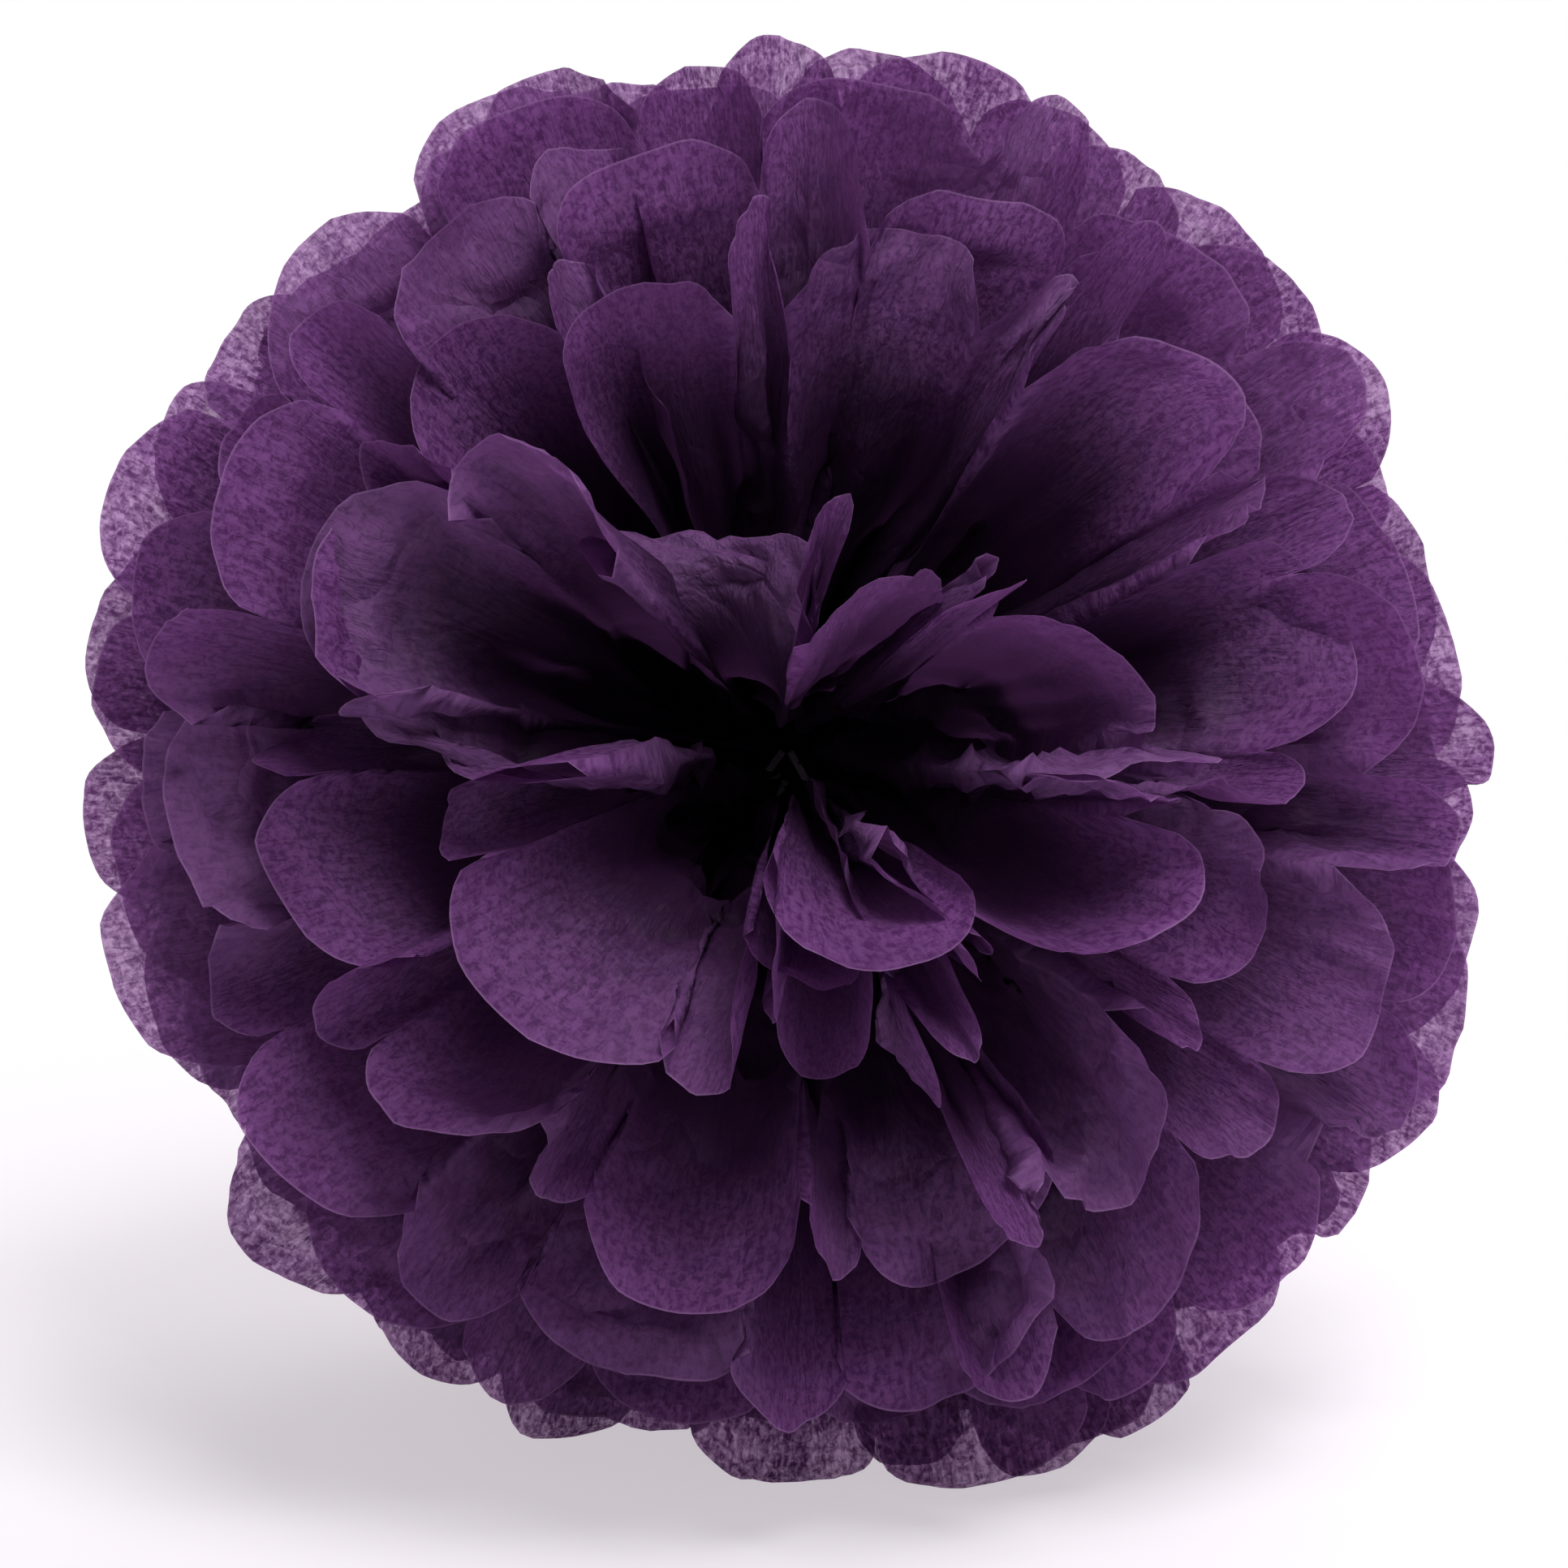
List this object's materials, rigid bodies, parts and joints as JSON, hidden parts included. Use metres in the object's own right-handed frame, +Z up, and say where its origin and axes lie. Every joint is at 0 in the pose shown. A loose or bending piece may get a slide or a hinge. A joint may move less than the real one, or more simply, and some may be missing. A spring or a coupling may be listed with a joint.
{
  "type": "tissue paper pom pom",
  "caption": "Round tissue paper pom pom, lying on its side: a pleated stack of sheets tied at the waist, round cut at the ends and opened into nested ruffled cones.",
  "frame": {"origin": "bottom centre of the whole ball, on the surface that it rests on", "axes": "+Z up, -Y towards the viewer and the open face, +X to the viewer's right"},
  "size_m": [0.261, 0.2622, 0.254],
  "materials": {
    "tissue": "matte",
    "tie": "matte"
  },
  "bodies": {
    "root": {"sheet_01": "tissue", "sheet_02": "tissue", "sheet_03": "tissue", "sheet_04": "tissue", "sheet_05": "tissue", "sheet_06": "tissue", "sheet_07": "tissue", "sheet_08": "tissue", "sheet_09": "tissue", "sheet_10": "tissue", "tie_strip_a": "tie", "tie_strip_b": "tie"}
  },
  "joints": []
}
